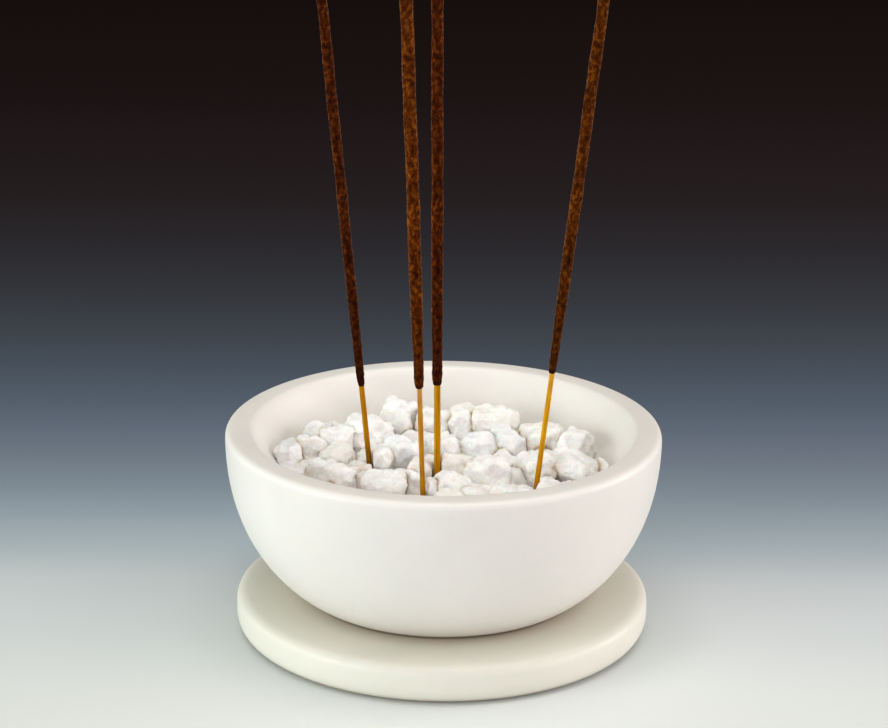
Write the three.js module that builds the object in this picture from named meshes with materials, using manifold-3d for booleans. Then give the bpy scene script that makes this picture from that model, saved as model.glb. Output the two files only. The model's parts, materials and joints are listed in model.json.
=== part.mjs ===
// Incense burner: a thick round marble bowl on a flat marble coaster, filled with crushed white
// marble, with four bamboo-cored incense sticks standing in the chips.
// Millimetres, +Z up. The origin is under the middle of the coaster, on the table.

import * as THREE from 'three';
import { ConvexGeometry } from 'three/addons/geometries/ConvexGeometry.js';
import { ConvexHull } from 'three/addons/math/ConvexHull.js';
import { mergeVertices } from 'three/addons/utils/BufferGeometryUtils.js';
import Module from 'manifold-3d';

const wasm = await Module();
wasm.setup();

// Coaster
const COASTER_RADIUS = 54.5;
const COASTER_THICKNESS = 10.3;
const COASTER_TOP_ROUNDING = 3.2;
const COASTER_BOTTOM_ROUNDING = 5;

// Bowl, outside
const BOWL_RADIUS = 57;
const BOWL_HEIGHT = 44.5;
const FOOT_RADIUS = 35;
const FOOT_FLARE = 1;
const BELLY_UPRIGHT = 32;
const BOWL_SEAT_GAP = 0.05;

// Bowl, rim and hollow
const RIM_WALL = 7;
const RIM_OUTER_ROUNDING = 2;
const RIM_INNER_ROUNDING = 2.8;
const HOLLOW_DEPTH = 30.5;

// Bed of chips
const BED_BELOW_RIM = 9.4;
const BED_CROWN = 2.4;
const CHIP_CLEARANCE = 0.3;
const FILL_DROP = 10.5;
const TOP_CHIPS = 88;
const SEPARATE_CHIPS = 49;
const BED_COVER = 0.81;
const CHIP_PLAN_SHARE = 0.42;

// Sizes of chips, in lengths of a usual chip of the top layer
const OTHER_CHIP_LENGTHS = [0.75, 1.1];
const OTHER_CHIP_RISES = [-0.28, 0];
const LOWER_CHIP_LENGTH = 0.9;
const LOWER_CHIP_SINK = 0.15;
const SKIN_CHIP_LENGTH = 1.45;
const SKIN_CHIP_SINK = 0.44;
const SKIN_CHIP_SHARE = 0.72;

// Incense sticks
const STICK_LENGTH = 230;
const STICK_END_TAPER = 2.5;
const CORE_SIDES = 12;
const COAT_SIDES = 14;
const COAT_CLEARANCE = 0.02;
const COAT_LOWER_EDGE = 0.35;
const COAT_SHOULDER = 0.88;
const COAT_SHOULDER_PLACE = 0.36;
const COAT_TIP = 0.7;
const COAT_WIDENING = 25;
const STICK_FLOOR_GAP = 0.3;

// Each stick: where it enters the chips, as shares of the bed's radius to the right and to the
// back, how far it leans per millimetre of height, its bare bamboo length, and the diameters of
// its paste coat, of the coat's lower end and of its bamboo core.
const STICKS = [
  {
    right: -0.438, back: -0.10, leanRight: -0.100, leanBack: 0.030,
    bare: 38.6, coat: 2.9, coatEnd: 2.3, core: 1.45,
  },
  {
    right: -0.116, back: -0.57, leanRight: -0.038, leanBack: -0.045,
    bare: 42.9, coat: 3.4, coatEnd: 2.6, core: 1.35,
  },
  {
    right: -0.035, back: -0.22, leanRight: -0.009, leanBack: 0.035,
    bare: 42.7, coat: 3.2, coatEnd: 2.8, core: 1.75,
  },
  {
    right: 0.542, back: -0.45, leanRight: 0.107, leanBack: -0.030,
    bare: 42.8, coat: 3.1, coatEnd: 2.2, core: 1.4,
  },
];

// The chips that show best, from the back to the front. Place: shares of the bed's radius to the
// right and to the back. Then width, depth and height, and how far the top stands above the bed's
// surface, in lengths of a usual chip, and the turn about the vertical in radians.
const SHOWN_CHIPS = [
  [0.16, 0.80, 0.90, 0.80, 0.80, 0.25, 0.3],
  [-0.27, 0.64, 0.84, 0.85, 1.25, 0.62, 0.9],
  [-0.07, 0.62, 0.95, 0.80, 0.95, 0.36, -0.2],
  [0.11, 0.62, 0.62, 0.80, 0.90, 0.38, 0.2],
  [0.33, 0.58, 1.15, 0.95, 0.90, 0.37, -0.1],
  [-0.46, 0.37, 1.20, 1.10, 1.20, 0.47, 0.5],
  [-0.74, 0.35, 0.75, 0.80, 0.85, 0.42, -0.5],
  [0.60, 0.33, 1.20, 0.90, 0.90, 0.33, 0.1],
  [0.39, 0.26, 0.80, 0.85, 0.95, 0.27, 0.6],
  [-0.655, 0.22, 0.80, 0.75, 0.75, 0.37, 0.2],
  [-0.01, 0.20, 1.05, 0.80, 0.90, 0.18, 0.1],
  [0.20, 0.19, 0.90, 0.80, 0.85, 0.23, -0.4],
  [0.80, 0.19, 0.78, 0.85, 1.00, 0.46, -0.6],
  [-0.84, 0.07, 0.72, 0.75, 0.85, 0.45, 0.1],
  [-0.25, 0.05, 0.90, 0.85, 1.00, 0.28, 0.3],
  [-0.90, 0.00, 0.72, 0.75, 0.80, 0.34, -0.2],
  [-0.66, -0.05, 0.90, 0.70, 0.75, 0.22, 0.3],
  [-0.37, -0.05, 0.50, 0.85, 0.90, 0.22, 0.7],
  [0.90, -0.08, 0.50, 0.60, 0.60, 0.16, 0.2],
  [0.74, -0.09, 1.45, 1.00, 0.95, 0.29, -0.5],
  [0.56, -0.12, 0.90, 0.90, 1.00, 0.30, 0.8],
  [-0.51, -0.14, 0.65, 0.70, 0.70, -0.07, 0.0],
  [0.08, -0.16, 1.00, 0.75, 0.80, 0.12, 0.1],
  [-0.14, -0.18, 0.65, 0.70, 0.75, 0.08, -0.3],
  [0.43, -0.18, 0.80, 0.75, 0.70, -0.08, 0.4],
  [-0.87, -0.23, 0.85, 0.70, 0.60, 0.16, -0.4],
  [0.29, -0.25, 0.85, 1.00, 1.15, 0.34, 0.7],
  [-0.62, -0.33, 1.45, 0.70, 0.85, 0.36, -0.75],
  [-0.21, -0.43, 0.62, 0.75, 0.90, 0.22, 0.2],
  [-0.38, -0.48, 0.98, 0.85, 0.80, 0.20, -0.1],
  [0.06, -0.48, 0.95, 0.75, 0.80, 0.27, 0.25],
  [0.63, -0.50, 0.70, 0.70, 0.65, 0.22, 0.1],
  [-0.08, -0.52, 0.40, 0.60, 0.70, 0.18, 0.0],
  [0.32, -0.61, 0.80, 0.70, 0.75, 0.18, -0.2],
  [0.49, -0.61, 0.70, 0.70, 0.70, 0.16, 0.3],
  [0.18, -0.66, 0.55, 0.65, 0.65, 0.13, 0.5],
  [0.01, -0.70, 0.75, 0.65, 0.65, 0.13, 0.0],
];

// Resolution of the round forms
const ROUND_SEGMENTS = 64;
const WALL_STEPS = 9;
const HOLLOW_STEPS = 8;
const ROUNDING_STEPS = 3;
const FILL_SEGMENTS = 20;
const FILL_STEPS = 4;

// The shape of a chip: the ranges of its width and height as shares of its length, how far its
// corners and its knocked-off faces lie from the middle, and its tilt in radians.
const CHIP_WIDTHS = [0.75, 0.96];
const CHIP_HEIGHTS = [0.76, 0.92];
const CHIP_CORNERS = [0.9, 1.06];
const SHOWN_CHIP_KNOCKS = 7;
const OTHER_CHIP_KNOCKS = 4;
const CHIP_KNOCK_PLACES = [0.64, 0.84];
const CHIP_KNOCK_SCATTER = 1.2;
const CHIP_TILT = 0.3;

// How the chips are placed and cut
const GOLDEN_ANGLE = Math.PI * (3 - Math.sqrt(5));
const SETTLE_ROUNDS = 400;
const PLACE_ATTEMPTS = 60;
const SHOWN_CHIP_WEIGHT = 0.15;
const EVEN_SHARE = 0.5;
const SHOWN_CHIP_SHARE = 0.25;
const LEAST_DISTANCE = 1e-6;
const WALL_CUTS = 12;
const WALL_CUT_DEPTH = 0.15;
const CHIP_CORNER_MERGE = 1.1;
const LUMP_CORNER_MERGE = 4.1;
const VERTEX_MERGE = 1e-4;
const UP = new THREE.Vector3(0, 0, 1);
const DOWN = new THREE.Vector3(0, 0, -1);

// Heights and radii that follow from the sizes above
const bowlBase = COASTER_THICKNESS + BOWL_SEAT_GAP;
const rimHeight = bowlBase + BOWL_HEIGHT;
const mouthRadius = BOWL_RADIUS - RIM_WALL;
const hollowRadius = (mouthRadius ** 2 + HOLLOW_DEPTH ** 2) / (2 * HOLLOW_DEPTH);
const hollowCentre = new THREE.Vector3(0, 0, rimHeight - HOLLOW_DEPTH + hollowRadius);
const bedEdgeHeight = rimHeight - BED_BELOW_RIM;
const bedRadius = hollowRadiusAt(bedEdgeHeight);
const fillTop = bedEdgeHeight - FILL_DROP;

// The plan of the top layer is worked out in shares of the bed's radius, so that the same chips
// cover a bed of any size: how many there are sets how long a usual one is.
const girthShare = Math.sqrt(BED_COVER / TOP_CHIPS);
const chipLength = bedRadius * girthShare / CHIP_PLAN_SHARE;
const skinLength = chipLength * SKIN_CHIP_LENGTH;

// A repeatable stream of numbers between 0 and 1
let seed = 90210;
function random() {
  seed = (seed + 0x6d2b79f5) | 0;
  let mixed = Math.imul(seed ^ (seed >>> 15), 1 | seed);
  mixed = (mixed + Math.imul(mixed ^ (mixed >>> 7), 61 | mixed)) ^ mixed;
  return ((mixed ^ (mixed >>> 14)) >>> 0) / 4294967296;
}

function between(low, high) {
  return low + (high - low) * random();
}

// Materials
function honedMarble() {
  return new THREE.MeshStandardMaterial({ color: 0xf2f0e9, roughness: 0.42, metalness: 0 });
}

function crushedMarble() {
  return new THREE.MeshStandardMaterial({ color: 0xf4f1ee, roughness: 0.85, metalness: 0 });
}

function bamboo() {
  return new THREE.MeshStandardMaterial({ color: 0xc08a22, roughness: 0.6, metalness: 0 });
}

function incensePaste() {
  return new THREE.MeshStandardMaterial({ color: 0x4a2c17, roughness: 0.95, metalness: 0 });
}

// Profiles are lists of (radius, height) points, from the axis at the bottom to the axis at the top.
function rounding(from, corner, to) {
  const curve = new THREE.QuadraticBezierCurve(from, corner, to);
  return curve.getPoints(ROUNDING_STEPS);
}

function point(radius, height) {
  return new THREE.Vector2(radius, height);
}

function revolve(profile, segments) {
  const geometry = new THREE.LatheGeometry(profile, segments);
  geometry.rotateX(Math.PI / 2);
  return geometry;
}

function coasterGeometry() {
  const edge = COASTER_RADIUS;
  const top = COASTER_THICKNESS;
  const low = COASTER_BOTTOM_ROUNDING;
  const high = COASTER_TOP_ROUNDING;
  const profile = [
    point(0, 0),
    ...rounding(point(edge - low, 0), point(edge, 0), point(edge, low)),
    ...rounding(point(edge, top - high), point(edge, top), point(edge - high, top)),
    point(0, top),
  ];
  return revolve(profile, ROUND_SEGMENTS);
}

// The radius of the bowl's hollow at a height
function hollowRadiusAt(height) {
  const drop = hollowCentre.z - height;
  return Math.sqrt(Math.max(hollowRadius ** 2 - drop ** 2, 0));
}

// The hollow is part of a ball, from the rim's inner rounding down to the axis
function hollowProfile() {
  const start = Math.asin(hollowRadiusAt(rimHeight - RIM_INNER_ROUNDING) / hollowRadius);
  const points = [];
  for (let step = 0; step <= HOLLOW_STEPS; step += 1) {
    const angle = start * (1 - step / HOLLOW_STEPS);
    const height = hollowCentre.z - hollowRadius * Math.cos(angle);
    points.push(point(hollowRadius * Math.sin(angle), height - bowlBase));
  }
  return points;
}

function bowlGeometry() {
  const wall = new THREE.CubicBezierCurve(
    point(FOOT_RADIUS, 0),
    point(FOOT_RADIUS + FOOT_FLARE, 0),
    point(BOWL_RADIUS, BOWL_HEIGHT - RIM_OUTER_ROUNDING - BELLY_UPRIGHT),
    point(BOWL_RADIUS, BOWL_HEIGHT - RIM_OUTER_ROUNDING),
  );
  const outerLip = rounding(
    point(BOWL_RADIUS, BOWL_HEIGHT - RIM_OUTER_ROUNDING),
    point(BOWL_RADIUS, BOWL_HEIGHT),
    point(BOWL_RADIUS - RIM_OUTER_ROUNDING, BOWL_HEIGHT),
  );
  const hollow = hollowProfile();
  const innerLip = rounding(
    point(mouthRadius + RIM_INNER_ROUNDING / 2, BOWL_HEIGHT),
    point(mouthRadius, BOWL_HEIGHT),
    hollow[0],
  );
  const profile = [
    point(0, 0),
    ...wall.getPoints(WALL_STEPS).slice(0, -1),
    ...outerLip,
    ...innerLip.slice(0, -1),
    ...hollow,
  ];
  return revolve(profile, ROUND_SEGMENTS);
}

// Sticks
function stickPlace(stick) {
  const direction = new THREE.Vector3(stick.leanRight, stick.leanBack, 1).normalize();
  const entry = new THREE.Vector3(stick.right * bedRadius, stick.back * bedRadius, bedEdgeHeight);
  const offset = entry.clone().sub(hollowCentre);
  const reach = hollowRadius - STICK_FLOOR_GAP - stick.core / 2;
  const along = offset.dot(direction);
  const depth = along + Math.sqrt(along ** 2 - offset.lengthSq() + reach ** 2);
  const tip = entry.clone().addScaledVector(direction, -depth);
  return { direction, tip };
}

function coreGeometry(stick) {
  const radius = stick.core / 2;
  const profile = [
    point(0, 0),
    point(radius, 0),
    point(radius, STICK_LENGTH - STICK_END_TAPER),
    point(0, STICK_LENGTH - STICK_END_TAPER),
  ];
  return revolve(profile, CORE_SIDES);
}

// The paste is a tube round the bamboo, thinner at its lower end and closed over at the top
function coatGeometry(stick) {
  const bore = (stick.core / 2 + COAT_CLEARANCE) / Math.cos(Math.PI / COAT_SIDES);
  const radius = stick.coat / 2;
  const endRadius = stick.coatEnd / 2;
  const coreTop = STICK_LENGTH - STICK_END_TAPER + COAT_CLEARANCE;
  const low = stick.bare;
  const profile = [
    point(0, coreTop),
    point(bore, coreTop),
    point(bore, low),
    point(bore + COAT_LOWER_EDGE * (endRadius - bore), low),
    point(endRadius * COAT_SHOULDER, low + STICK_END_TAPER * COAT_SHOULDER_PLACE),
    point(endRadius, low + STICK_END_TAPER),
    point(radius, low + COAT_WIDENING),
    point(radius, STICK_LENGTH - radius),
    point(radius * COAT_TIP, STICK_LENGTH - radius * (1 - COAT_TIP)),
    point(0, STICK_LENGTH),
  ];
  return revolve(profile, COAT_SIDES);
}

function stickPiece(name, geometry, material, place) {
  const piece = new THREE.Mesh(geometry, material);
  piece.name = name;
  piece.position.copy(place.tip);
  piece.quaternion.setFromUnitVectors(UP, place.direction);
  return piece;
}

// Chips are convex lumps, kept as lists of their corners until they are placed and cut.
function hullCorners(points, merge = CHIP_CORNER_MERGE) {
  const hull = new ConvexHull().setFromPoints(points);
  const kept = new Set();
  for (const face of hull.faces) {
    let edge = face.edge;
    do {
      kept.add(edge.head().point);
      edge = edge.next;
    } while (edge !== face.edge);
  }
  const corners = [];
  for (const corner of kept) {
    if (corners.every((other) => other.distanceTo(corner) > merge)) corners.push(corner);
  }
  return corners.length > 3 ? corners : [];
}

function middleOf(points) {
  const middle = new THREE.Vector3();
  for (const corner of points) middle.add(corner);
  return middle.divideScalar(points.length);
}

// Cut off what lies beyond a plane: the corners that stay, and where the edges cross it
function trim(points, normal, offset) {
  const heights = points.map((corner) => normal.dot(corner) - offset);
  const kept = points.filter((corner, index) => heights[index] <= 0);
  if (kept.length === points.length) return points;
  const crossings = [];
  heights.forEach((low, from) => {
    heights.forEach((high, to) => {
      if (low >= 0 || high <= 0) return;
      crossings.push(points[from].clone().lerp(points[to], low / (low - high)));
    });
  });
  return hullCorners([...kept, ...crossings]);
}

function furthest(points, direction) {
  return Math.max(...points.map((corner) => corner.dot(direction)));
}

function faceDirections(points) {
  return new ConvexHull().setFromPoints(points).faces.map((face) => face.normal.clone());
}

// The direction in which two chips lap the least, and where it leaves the first of them
function leastLap(chip, other) {
  const line = other.middle.clone().sub(chip.middle).normalize();
  const directions = [
    line,
    ...faceDirections(chip.corners),
    ...faceDirections(other.corners).map((direction) => direction.negate()),
  ];
  let best = { lap: Infinity };
  for (const across of directions) {
    const end = furthest(chip.corners, across);
    const lap = end + furthest(other.corners, across.clone().negate());
    if (lap < best.lap) best = { lap, across, end };
  }
  return best;
}

function farApart(chip, other) {
  return chip.middle.distanceTo(other.middle) > chip.reach + other.reach + CHIP_CLEARANCE;
}

// Part two chips: the first gives up its share of the lap, and the second the rest
function partTwo(chip, other, share) {
  if (farApart(chip, other) || !other.corners.length) return;
  const { lap, across, end } = leastLap(chip, other);
  if (lap <= -CHIP_CLEARANCE) return;
  const seam = end - (lap + CHIP_CLEARANCE) * share;
  if (share > 0) chip.corners = trim(chip.corners, across, seam);
  other.corners = trim(other.corners, across.clone().negate(), -seam - CHIP_CLEARANCE);
}

// Cut flats where a chip would reach into the wall of the hollow
function keepInHollow(points) {
  const limit = hollowRadius - CHIP_CLEARANCE;
  let corners = points;
  for (let round = 0; round < WALL_CUTS; round += 1) {
    const distances = corners.map((corner) => corner.distanceTo(hollowCentre));
    const most = Math.max(...distances);
    if (most <= limit) break;
    const outwards = corners[distances.indexOf(most)].clone().sub(hollowCentre).normalize();
    corners = trim(corners, outwards, outwards.dot(hollowCentre) + limit - WALL_CUT_DEPTH);
  }
  return corners;
}

// Cut a flat along each stick that a chip would touch
function clearOfSticks(points) {
  let corners = points;
  for (const stick of STICKS) {
    if (!corners.length) break;
    const { direction, tip } = stickPlace(stick);
    const towards = tip.clone().sub(middleOf(corners));
    towards.addScaledVector(direction, -towards.dot(direction)).normalize();
    const reach = stick.core / 2 + CHIP_CLEARANCE;
    corners = trim(corners, towards, towards.dot(tip) - reach);
  }
  return corners;
}

// The width, depth and height of a chip, from lengths of a usual chip
function usualSize(width, depth, height) {
  return new THREE.Vector3(width, depth, height).multiplyScalar(chipLength);
}

function anySize(length) {
  return usualSize(length, length * between(...CHIP_WIDTHS), length * between(...CHIP_HEIGHTS));
}

// An angular lump round the origin: an uneven block with pieces knocked off it all round
function brokenBlock(size, turn, knocks = 0) {
  const half = size.clone().multiplyScalar(0.5);
  const tilts = [between(-CHIP_TILT, CHIP_TILT), between(-CHIP_TILT, CHIP_TILT)];
  const pose = new THREE.Euler(...tilts, turn);
  let corners = [];
  for (const x of [-1, 1]) {
    for (const y of [-1, 1]) {
      for (const z of [-1, 1]) {
        const corner = new THREE.Vector3(x, y, z).multiply(half);
        corners.push(corner.multiplyScalar(between(...CHIP_CORNERS)).applyEuler(pose));
      }
    }
  }
  for (let knock = 0; knock < knocks; knock += 1) {
    const height = 1 - (2 * knock + 1) / knocks;
    const angle = knock * GOLDEN_ANGLE + between(0, CHIP_KNOCK_SCATTER);
    const girth = Math.sqrt(1 - height ** 2);
    const direction = new THREE.Vector3(girth * Math.cos(angle), girth * Math.sin(angle), height);
    const place = furthest(corners, direction) * between(...CHIP_KNOCK_PLACES);
    corners = trim(corners, direction, place);
  }
  return corners;
}

// A lump moved to its place and cut to lie in the hollow and beside the sticks
function placeLump(shape, middle) {
  const moved = shape.map((corner) => corner.clone().add(middle));
  const corners = clearOfSticks(keepInHollow(moved));
  const reach = Math.max(...corners.map((corner) => corner.distanceTo(middle)));
  return { middle, corners, reach };
}

// The height of the bed's surface: highest in the middle
function bedHeight(x, y) {
  const share = Math.min((x ** 2 + y ** 2) / bedRadius ** 2, 1);
  return bedEdgeHeight + BED_CROWN * (1 - share);
}

// Places in plan, in shares of the bed's radius: the chips that show first, then more wherever
// there is most room
function planChips() {
  const spots = SHOWN_CHIPS.map(([x, y, width, depth, height, rise, turn]) => ({
    x,
    y,
    shape: brokenBlock(usualSize(width, depth, height), turn, SHOWN_CHIP_KNOCKS),
    girth: girthShare * (width + depth) / 2,
    rise,
    weight: SHOWN_CHIP_WEIGHT,
    shown: true,
  }));
  const sticks = STICKS.map((stick) => ({
    x: stick.right, y: stick.back, girth: stick.core / 2 / bedRadius, weight: 0,
  }));
  while (spots.length < TOP_CHIPS) {
    const length = between(...OTHER_CHIP_LENGTHS);
    spots.push({
      ...roomiest([...spots, ...sticks]),
      shape: brokenBlock(anySize(length), between(-Math.PI, Math.PI), OTHER_CHIP_KNOCKS),
      girth: girthShare * length,
      rise: between(...OTHER_CHIP_RISES),
      weight: 1,
      shown: false,
    });
  }
  for (let round = 0; round < SETTLE_ROUNDS; round += 1) settle(spots, sticks);
  return spots;
}

// Of a few random places, the one that is furthest from what is there
function roomiest(taken) {
  let best = { x: 0, y: 0, room: -Infinity };
  for (let attempt = 0; attempt < PLACE_ATTEMPTS; attempt += 1) {
    const angle = between(0, 2 * Math.PI);
    const radius = (1 - girthShare) * Math.sqrt(random());
    const x = radius * Math.cos(angle);
    const y = radius * Math.sin(angle);
    const room = Math.min(...taken.map((spot) => Math.hypot(x - spot.x, y - spot.y) - spot.girth));
    if (room > best.room) best = { x, y, room };
  }
  return { x: best.x, y: best.y };
}

// Push lapping neighbours apart, and everything away from the wall and the sticks
function settle(spots, sticks) {
  const all = [...spots, ...sticks];
  for (let one = 0; one < spots.length; one += 1) {
    for (let two = one + 1; two < all.length; two += 1) {
      const distance = Math.hypot(all[two].x - all[one].x, all[two].y - all[one].y);
      const apart = distance + LEAST_DISTANCE;
      const lap = all[one].girth + all[two].girth - apart;
      if (lap <= 0) continue;
      const weights = all[one].weight + all[two].weight;
      const step = lap / apart / weights;
      const x = (all[two].x - all[one].x) * step;
      const y = (all[two].y - all[one].y) * step;
      all[one].x -= x * all[one].weight;
      all[one].y -= y * all[one].weight;
      all[two].x += x * all[two].weight;
      all[two].y += y * all[two].weight;
    }
    const spot = spots[one];
    const radius = Math.hypot(spot.x, spot.y);
    const limit = 1 - spot.girth;
    if (radius > limit) {
      spot.x *= limit / radius;
      spot.y *= limit / radius;
    }
  }
}

// The top layer of chips, parted from each other: the chips that show keep most of their shape
function topChips() {
  const chips = planChips().map((spot) => {
    const x = spot.x * bedRadius;
    const y = spot.y * bedRadius;
    const top = bedHeight(x, y) + spot.rise * chipLength;
    const chip = placeLump(spot.shape, new THREE.Vector3(x, y, top - furthest(spot.shape, UP)));
    chip.corners = trim(chip.corners, DOWN, -fillTop - CHIP_CLEARANCE);
    return { ...chip, rise: spot.rise, shown: spot.shown };
  });
  chips.forEach((chip, index) => {
    for (const other of chips.slice(index + 1)) {
      partTwo(chip, other, chip.shown === other.shown ? EVEN_SHARE : SHOWN_CHIP_SHARE);
    }
  });
  return chips;
}

// Lumps against the wall of the hollow, under the top layer
function skinLumps() {
  const reach = hollowRadius - CHIP_CLEARANCE - skinLength * SKIN_CHIP_SINK;
  const cap = (hollowCentre.z - bedEdgeHeight + skinLength / 2) / reach;
  const area = 2 * Math.PI * reach ** 2 * (1 - cap);
  const count = Math.round(area / (skinLength ** 2 * SKIN_CHIP_SHARE));
  const lumps = [];
  for (let index = 0; index < count; index += 1) {
    const height = 1 - (1 - cap) * (index + 0.5) / count;
    const girth = Math.sqrt(1 - height ** 2) * reach;
    const angle = index * GOLDEN_ANGLE;
    const middle = new THREE.Vector3(girth * Math.cos(angle), girth * Math.sin(angle), -height * reach);
    const shape = brokenBlock(anySize(SKIN_CHIP_LENGTH), between(-Math.PI, Math.PI));
    lumps.push(placeLump(shape, middle.add(hollowCentre)));
  }
  return lumps;
}

// A lump under each separate chip, which carries it and shows in the gaps
function lowerLumps(chips) {
  return chips.map((chip) => {
    const bottom = -furthest(chip.corners, DOWN);
    const height = bottom - chipLength * LOWER_CHIP_SINK;
    const shape = brokenBlock(anySize(LOWER_CHIP_LENGTH), between(-Math.PI, Math.PI));
    return placeLump(shape, new THREE.Vector3(chip.middle.x, chip.middle.y, height));
  });
}

// What fills the middle of the bed, under and behind the lumps
function fillSolid() {
  const radius = hollowRadius - skinLength / 2;
  const spread = Math.acos((hollowCentre.z - fillTop) / radius);
  const profile = [];
  for (let step = 0; step <= FILL_STEPS; step += 1) {
    const angle = spread * step / FILL_STEPS;
    profile.push(point(radius * Math.sin(angle), hollowCentre.z - radius * Math.cos(angle)));
  }
  profile.push(point(0, fillTop));
  return solidOf(revolve(profile, FILL_SEGMENTS));
}

function solidOf(geometry) {
  const bare = geometry.clone();
  bare.deleteAttribute('normal');
  bare.deleteAttribute('uv');
  const merged = mergeVertices(bare, VERTEX_MERGE);
  return new wasm.Manifold(new wasm.Mesh({
    numProp: 3,
    vertProperties: new Float32Array(merged.attributes.position.array),
    triVerts: new Uint32Array(merged.index.array),
  }));
}

function geometryOf(solid) {
  const mesh = solid.getMesh();
  const geometry = new THREE.BufferGeometry();
  geometry.setAttribute('position', new THREE.BufferAttribute(new Float32Array(mesh.vertProperties), 3));
  geometry.setIndex(new THREE.BufferAttribute(new Uint32Array(mesh.triVerts), 1));
  return geometry;
}

function stickHole(stick) {
  const { direction, tip } = stickPlace(stick);
  const radius = stick.core / 2 + CHIP_CLEARANCE;
  const length = HOLLOW_DEPTH * 2;
  const hole = new THREE.CylinderGeometry(radius, radius, length, CORE_SIDES);
  const up = new THREE.Vector3(0, 1, 0);
  hole.applyQuaternion(new THREE.Quaternion().setFromUnitVectors(up, direction));
  hole.translate(tip.x, tip.y, tip.z);
  return solidOf(hole);
}

// The lower chips and the filled middle as one body, clear of each separate chip
function bedGeometry(separate, joined) {
  let bed = fillSolid();
  for (const lower of [...skinLumps(), ...lowerLumps(separate)]) {
    lower.corners = hullCorners(lower.corners, LUMP_CORNER_MERGE);
    for (const chip of separate) partTwo(chip, lower, 0);
    if (lower.corners.length) bed = bed.add(solidOf(new ConvexGeometry(lower.corners)));
  }
  for (const chip of joined) bed = bed.add(solidOf(new ConvexGeometry(chip.corners)));
  for (const stick of STICKS) bed = bed.subtract(stickHole(stick));
  const bodies = bed.decompose();
  return geometryOf(bodies.reduce((most, body) => (body.volume() > most.volume() ? body : most)));
}

function chipPiece(chip, index) {
  const middle = middleOf(chip.corners);
  const corners = chip.corners.map((corner) => corner.clone().sub(middle));
  const piece = new THREE.Mesh(new ConvexGeometry(corners), crushedMarble());
  piece.name = `chip_${String(index + 1).padStart(2, '0')}`;
  piece.position.copy(middle);
  return piece;
}

// The assembly
const burner = new THREE.Group();

const coaster = new THREE.Mesh(coasterGeometry(), honedMarble());
coaster.name = 'coaster';
burner.add(coaster);

const bowl = new THREE.Mesh(bowlGeometry(), honedMarble());
bowl.name = 'bowl';
bowl.position.z = bowlBase;
burner.add(bowl);

// The chips that stand highest are separate, counted from the back to the front
const chips = topChips().sort((one, other) => other.rise - one.rise);
const separateChips = chips.slice(0, SEPARATE_CHIPS);
separateChips.sort((one, other) => other.middle.y - one.middle.y);
const bed = new THREE.Mesh(bedGeometry(separateChips, chips.slice(SEPARATE_CHIPS)), crushedMarble());
bed.name = 'chip_bed';
burner.add(bed);
separateChips.forEach((chip, index) => burner.add(chipPiece(chip, index)));

STICKS.forEach((stick, index) => {
  const place = stickPlace(stick);
  burner.add(stickPiece(`stick_${index + 1}_core`, coreGeometry(stick), bamboo(), place));
  burner.add(stickPiece(`stick_${index + 1}_coat`, coatGeometry(stick), incensePaste(), place));
});

export default burner;
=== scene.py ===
# %% [markdown]
# # Dressing a marble incense burner
#
# The object is a thick marble bowl on a flat marble coaster. The bowl is filled with crushed white marble, and
# four incense sticks stand in it. The CAD model fixes every place and size. This script gives each piece the
# surface that the real one has, and never moves a CAD piece.

# %% Load the fixed frame
import json
import math

import bpy
from mathutils import Matrix, Vector
from mathutils.bvhtree import BVHTree


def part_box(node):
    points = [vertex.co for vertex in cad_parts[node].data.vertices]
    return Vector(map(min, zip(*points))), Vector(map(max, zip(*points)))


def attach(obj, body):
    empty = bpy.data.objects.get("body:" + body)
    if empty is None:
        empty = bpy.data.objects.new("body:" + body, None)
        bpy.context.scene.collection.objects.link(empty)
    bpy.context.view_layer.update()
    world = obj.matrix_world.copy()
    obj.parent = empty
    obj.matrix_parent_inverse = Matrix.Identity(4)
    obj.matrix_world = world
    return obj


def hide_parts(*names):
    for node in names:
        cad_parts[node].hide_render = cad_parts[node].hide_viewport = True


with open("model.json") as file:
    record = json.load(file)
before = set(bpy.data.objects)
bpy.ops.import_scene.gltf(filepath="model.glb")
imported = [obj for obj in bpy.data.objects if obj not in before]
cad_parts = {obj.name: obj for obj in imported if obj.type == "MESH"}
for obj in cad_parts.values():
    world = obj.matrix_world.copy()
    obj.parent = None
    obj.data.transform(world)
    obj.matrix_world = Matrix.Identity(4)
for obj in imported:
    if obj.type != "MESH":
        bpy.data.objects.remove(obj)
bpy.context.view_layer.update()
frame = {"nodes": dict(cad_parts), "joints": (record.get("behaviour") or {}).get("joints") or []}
MM = 0.001

# %% [markdown]
# ## Picking a piece
#
# Blender's operators act on all that is selected, and the import leaves every CAD node selected. So a piece is
# always picked alone before an operator runs on it. In edit mode edges are picked by the places of their ends.

# %% Helpers that pick
def clear_selection():
    """Leave nothing selected, so that a new primitive is the only thing an operator finds."""
    if bpy.context.object and bpy.context.object.mode != "OBJECT":
        bpy.ops.object.mode_set(mode="OBJECT")
    bpy.ops.object.select_all(action="DESELECT")


def pick(piece):
    """Select one piece, and nothing else, in object mode."""
    clear_selection()
    piece.select_set(True)
    bpy.context.view_layer.objects.active = piece


def pick_whole_mesh(piece):
    """Enter edit mode with every point of a piece selected."""
    pick(piece)
    bpy.ops.object.mode_set(mode="EDIT")
    bpy.ops.mesh.select_all(action="SELECT")


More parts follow.
